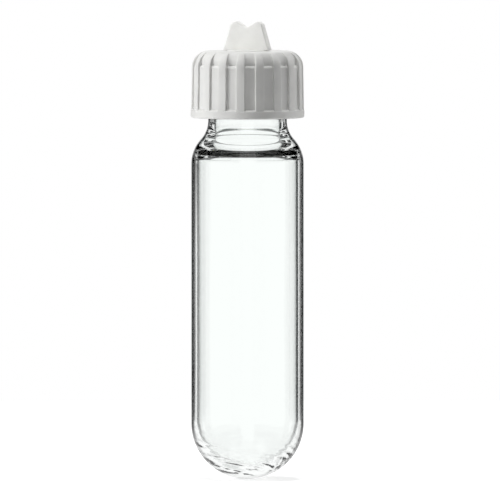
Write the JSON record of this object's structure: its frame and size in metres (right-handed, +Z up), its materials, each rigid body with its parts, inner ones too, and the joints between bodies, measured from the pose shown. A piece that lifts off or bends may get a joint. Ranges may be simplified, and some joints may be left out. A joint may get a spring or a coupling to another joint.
{
  "type": "screw-cap glass reaction tube",
  "caption": "Round-bottom glass tube with a drawn-in neck, closed by a ribbed screw cap and a captive sealing stopper with a notched pull tab.",
  "frame": {"origin": "lowest point of the round bottom, on the tube's axis", "axes": "+Z up along the tube's axis, from the round bottom to the cap; -Y faces the viewer of the picture"},
  "size_m": [0.0252, 0.0252, 0.1015],
  "materials": {
    "borosilicate_glass": "clear, fire-polished",
    "white_fluoropolymer": "waxy white, slightly translucent",
    "white_polypropylene": "moulded, satin white"
  },
  "bodies": {
    "tube": {"glass_tube": "borosilicate_glass"},
    "stopper": {"stopper": "white_fluoropolymer"},
    "cap": {"screw_cap": "white_polypropylene"}
  },
  "joints": [
    {"name": "stopper_lift", "type": "slide", "parent": "tube", "child": "stopper", "axis": [0, 0, 1], "range_m": [0, 0.00476]},
    {"name": "cap_turn", "type": "hinge", "parent": "stopper", "child": "cap", "pos_m": [0, 0, 0.094], "axis": [0, 0, 1], "range_deg": [0, 540]}
  ],
  "couplings": [
    {"joint": "stopper_lift", "follows": "cap_turn", "m_per_rad": 0.0005053}
  ]
}
